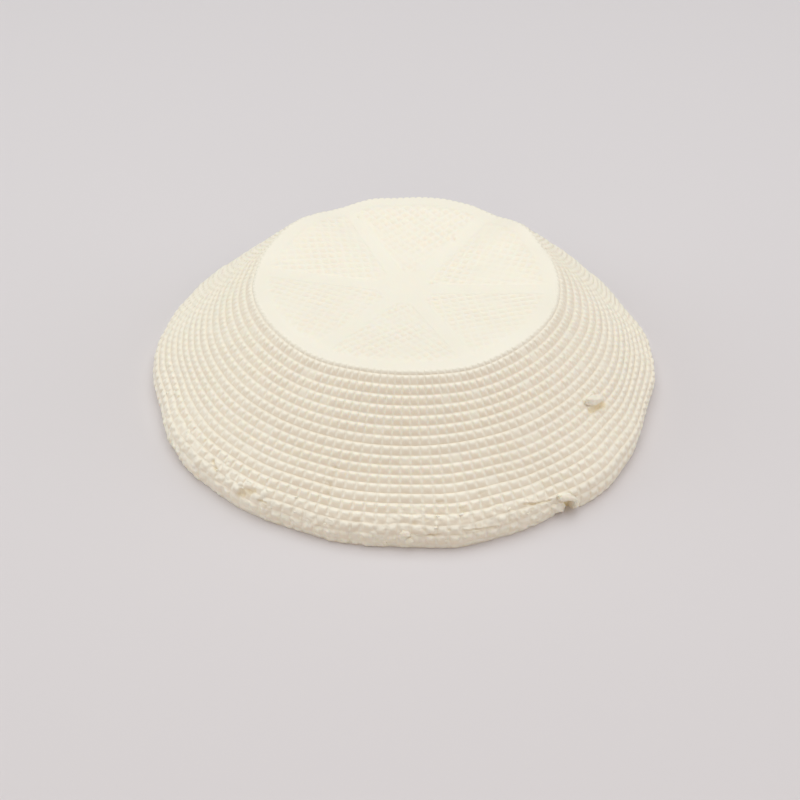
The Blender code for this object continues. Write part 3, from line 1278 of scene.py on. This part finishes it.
@dataclass
class LooseCurd(Piece):
    """Lumps, curls and the flake that stand clear of the surface.

    Each lump is form, azimuth, row, lift off the surface, half sizes along,
    out and up, and lean.
    """

    lumps: tuple = (
        (LumpForm.FLAKE, 327.7, 8.95, 0.5, (5.0, 1.6, 1.8), 18.0),
        (LumpForm.FLAP, 306.0, 15.7, 0.6, (4.3, 1.5, 1.5), 20.0),
        (LumpForm.KNOB, 308.0, 16.8, 0.3, (0.9, 0.9, 1.5), -12.0),
        (LumpForm.KNOB, 270.4, 15.9, 0.2, (1.9, 1.1, 1.3), 10.0),
        (LumpForm.KNOB, 271.2, 16.6, 0.1, (1.8, 1.1, 1.3), -10.0),
    )
    crumb_count: int = 22
    crumb_seed: int = 21
    crumb_size: tuple = (0.4, 0.7)
    crumb_length: tuple = (1.0, 1.6)
    crumb_flatness: float = 0.8
    crumb_azimuths: tuple = (196.0, 300.0)
    crumb_rows: tuple = (13.4, 17.2)
    crumb_lift: float = -0.1
    crumb_lean: float = 40.0
    # An even share of the deep colour all over, to warm the loose curd's tone.
    tint: float = 0.12
    tilt: float = 43.0
    upright_rows: tuple = (15.0, 17.0)
    sink: float = 0.5

    def build(self) -> bpy.types.Object:
        """Model every lump as one joined piece.

        Returns:
            The finished piece.
        """
        bm = bmesh.new()
        for index, (form, azimuth, row, lift, half_sizes, lean) in enumerate(self.lumps):
            place = self._place(azimuth, row, lift, lean)
            self._lump(bm, form, place, half_sizes, index, 4)
        draw = random.Random(self.crumb_seed)
        for index in range(self.crumb_count):
            azimuth = draw.uniform(*self.crumb_azimuths)
            row = draw.uniform(*self.crumb_rows)
            size = draw.uniform(*self.crumb_size)
            half_sizes = (size * draw.uniform(*self.crumb_length), size, size * self.crumb_flatness)
            lean = draw.uniform(-self.crumb_lean, self.crumb_lean)
            place = self._place(azimuth, row, self.crumb_lift, lean)
            self._lump(bm, LumpForm.KNOB, place, half_sizes, 50 + index, 3)
        bmesh.ops.recalc_face_normals(bm, faces=bm.faces)
        mesh = bpy.data.meshes.new("loose_curd")
        bm.to_mesh(mesh)
        bm.free()
        # The loose curd takes an even share of the deep colour for a warmer tone, and no tan.
        for name, value in (("painted_shade_and_warmth", self.tint), ("hollow_shade", 0.0), ("soft", 1.0)):
            layer = mesh.attributes.new(name, "FLOAT", "POINT")
            layer.data.foreach_set("value", np.full(len(mesh.vertices), value, np.float32))
        mesh.materials.append(self.finish)
        mesh.shade_smooth()
        piece = bpy.data.objects.new("loose_curd", mesh)
        bpy.context.scene.collection.objects.link(piece)
        return self.settle_in(piece)

    def _place(self, azimuth: float, row: float, lift: float, lean: float) -> Matrix:
        """Set a frame on the surface: X along the row, Y outward, Z up the slope.

        Args:
            azimuth: Azimuth of the frame.
            row: Row coordinate of the frame.
            lift: How far it stands off the surface.
            lean: Turn about the outward axis, in degrees.

        Returns:
            The frame, in millimetres.
        """
        radius, height = self.basket.line(np.array([row]))
        az = np.array([azimuth])
        radius, height = self.basket.settle(az, radius, height)
        tilt = self.tilt * (1.0 - float(ease(*self.upright_rows, np.array([row]))[0]))
        return (
            Matrix.Rotation(math.radians(azimuth - 270.0), 4, "Z")
            @ Matrix.Translation((0.0, -float(radius[0]), float(height[0])))
            @ Matrix.Rotation(math.radians(-tilt), 4, "X")
            @ Matrix.Translation((0.0, -self.sink - lift, 0.0))
            @ Matrix.Rotation(math.radians(lean), 4, "Y")
        )

    @staticmethod
    def _lump(
        bm: bmesh.types.BMesh,
        form: LumpForm,
        place: Matrix,
        half_sizes: tuple,
        index: int,
        detail: int,
    ) -> None:
        """Add one lump to the mesh.

        Args:
            bm: Mesh to add to.
            form: How the lump is shaped.
            place: Where it lies.
            half_sizes: Half sizes along the row, outward and up.
            index: Number that makes its shape its own.
            detail: How finely it is divided.
        """
        made = bmesh.ops.create_icosphere(bm, subdivisions=detail, radius=1.0)["verts"]
        along, out, up = half_sizes
        for vertex in made:
            seat = vertex.co * 1.3 + Vector((index * 3.1, 0.0, 0.0))
            rough = 0.24 * noise.noise(seat) + 0.12 * noise.noise(vertex.co * 2.6 + seat)
            if form is not LumpForm.KNOB:
                rough = 1.5 * rough + 0.06 * noise.noise(vertex.co * 5.0 + seat)
            co = vertex.co * (1.0 + rough)
            co = Vector((co.x * along, co.y * out, co.z * up))
            if form is LumpForm.FLAKE:
                co.z += 0.01 * co.x * co.x - 0.12 * (co.y + out)
            elif form is LumpForm.FLAP:
                point = max(vertex.co.x, 0.0)
                co.y *= 1.0 - 0.5 * point**2
                co.z = co.z * (1.0 - 0.6 * point**2) - 1.1 * point**2
            vertex.co = inside_box(np.array((place @ co) * MM))


@dataclass
class Studio:
    """Plain floor, soft light and the camera.

    Each light is its name, its place and the side of its square in metres,
    its power in watts and its colour.
    """

    floor_finish: PlainFinish
    lights: tuple = (
        ("overhead", (0.0, 0.25, 1.1), 1.2, 8.5, (0.99, 1.0, 0.98)),
        ("left", (-1.2, 0.0, 0.55), 0.9, 4.4, (0.96, 0.98, 1.0)),
        ("right", (1.2, 0.0, 0.55), 0.9, 3.75, (0.98, 0.96, 1.0)),
        ("front", (0.0, -1.1, 0.62), 0.9, 2.9, (1.0, 0.83, 0.72)),
    )
    room_color: tuple = (1.0, 0.98, 0.965, 1.0)
    room_light: float = 0.268
    camera_place: tuple = (0.0, -0.53997, 0.41460)
    pitch: float = 38.374
    pan: float = -0.215
    roll: float = 0.507
    lens: float = 76.5
    sensor: float = 36.0

    def build(self) -> None:
        """Make the floor, the lights and the camera."""
        self._floor()
        for light in self.lights:
            self._light(*light)
        world = bpy.data.worlds.new("soft_room")
        world.use_nodes = True
        sky = world.node_tree.nodes["Background"]
        sky.inputs["Color"].default_value = self.room_color
        sky.inputs["Strength"].default_value = self.room_light
        bpy.context.scene.world = world
        bpy.context.scene.view_settings.view_transform = "Standard"
        self._camera()

    def _floor(self) -> None:
        """A wide pale floor under the cheese."""
        bm = bmesh.new()
        bmesh.ops.create_grid(bm, x_segments=1, y_segments=1, size=3.0)
        mesh = bpy.data.meshes.new("floor")
        bm.to_mesh(mesh)
        bm.free()
        mesh.materials.append(self.floor_finish.make())
        floor = bpy.data.objects.new("floor", mesh)
        bpy.context.scene.collection.objects.link(floor)

    @staticmethod
    def _light(name: str, place: tuple, size: float, power: float, color: tuple) -> None:
        """Add one square soft light that faces the cheese.

        Args:
            name: Name of the light.
            place: Where it hangs.
            size: Side of the square, in metres.
            power: Power in watts.
            color: Colour of its light.
        """
        data = bpy.data.lights.new(name, "AREA")
        data.size = size
        data.energy = power
        data.color = color
        light = bpy.data.objects.new(name, data)
        light.location = place
        aim = Vector((0.0, 0.0, 0.02)) - Vector(place)
        light.rotation_euler = aim.to_track_quat("-Z", "Y").to_euler()
        bpy.context.scene.collection.objects.link(light)

    def _camera(self) -> None:
        """Place the camera at the photograph's viewing angle."""
        pitch, pan = math.radians(self.pitch), math.radians(self.pan)
        forward = Vector(
            (math.sin(pan) * math.cos(pitch), math.cos(pan) * math.cos(pitch), -math.sin(pitch))
        )
        right = Vector((math.cos(pan), -math.sin(pan), 0.0))
        up = right.cross(forward)
        turn = Matrix((right, up, -forward)).transposed()
        roll = Matrix.Rotation(math.radians(self.roll), 3, "Z")
        data = bpy.data.cameras.new("camera")
        data.lens = self.lens
        data.sensor_width = self.sensor
        camera = bpy.data.objects.new("camera", data)
        camera.matrix_world = Matrix.Translation(self.camera_place) @ (turn @ roll).to_4x4()
        bpy.context.scene.collection.objects.link(camera)
        bpy.context.scene.camera = camera


def report(piece: bpy.types.Object) -> None:
    """Log a piece's name and how many triangles it has."""
    triangles = sum(len(face.vertices) - 2 for face in piece.data.polygons)
    log.info("%s: %d triangles", piece.name, triangles)


def main() -> None:
    """Build every piece in order."""
    logging.basicConfig(level=logging.INFO, format="%(name)s: %(message)s")
    Studio(PlainFinish()).build()
    basket = Basket()
    curd = CurdFinish().make()
    bumps = Bumps(basket)
    broken, tears = BrokenCurd(basket), Tears(basket)
    report(Face(basket, curd, bumps=bumps, petals=NetPetals(basket)).build())
    shared = {"bumps": bumps, "curd": broken, "tears": tears}
    report(Flank(basket, curd, name="upper_flank", **shared).build())
    report(Flank(basket, curd, name="lower_flank", first_row=7, last_row=12, **shared).build())
    finer = ((188.0, 315.0, 12.6),)
    band = Flank(basket, curd, name="low_band", first_row=12, last_row=15, finer=finer, **shared)
    report(band.build())
    finer = ((188.0, 315.0, 15.0), (301.0, 310.0, 15.4))
    foot = Flank(basket, curd, name="foot", first_row=15, last_row=17.7, finer=finer, **shared)
    report(foot.build())
    report(LooseCurd(basket, curd).build())


if __name__ == "__main__":
    main()
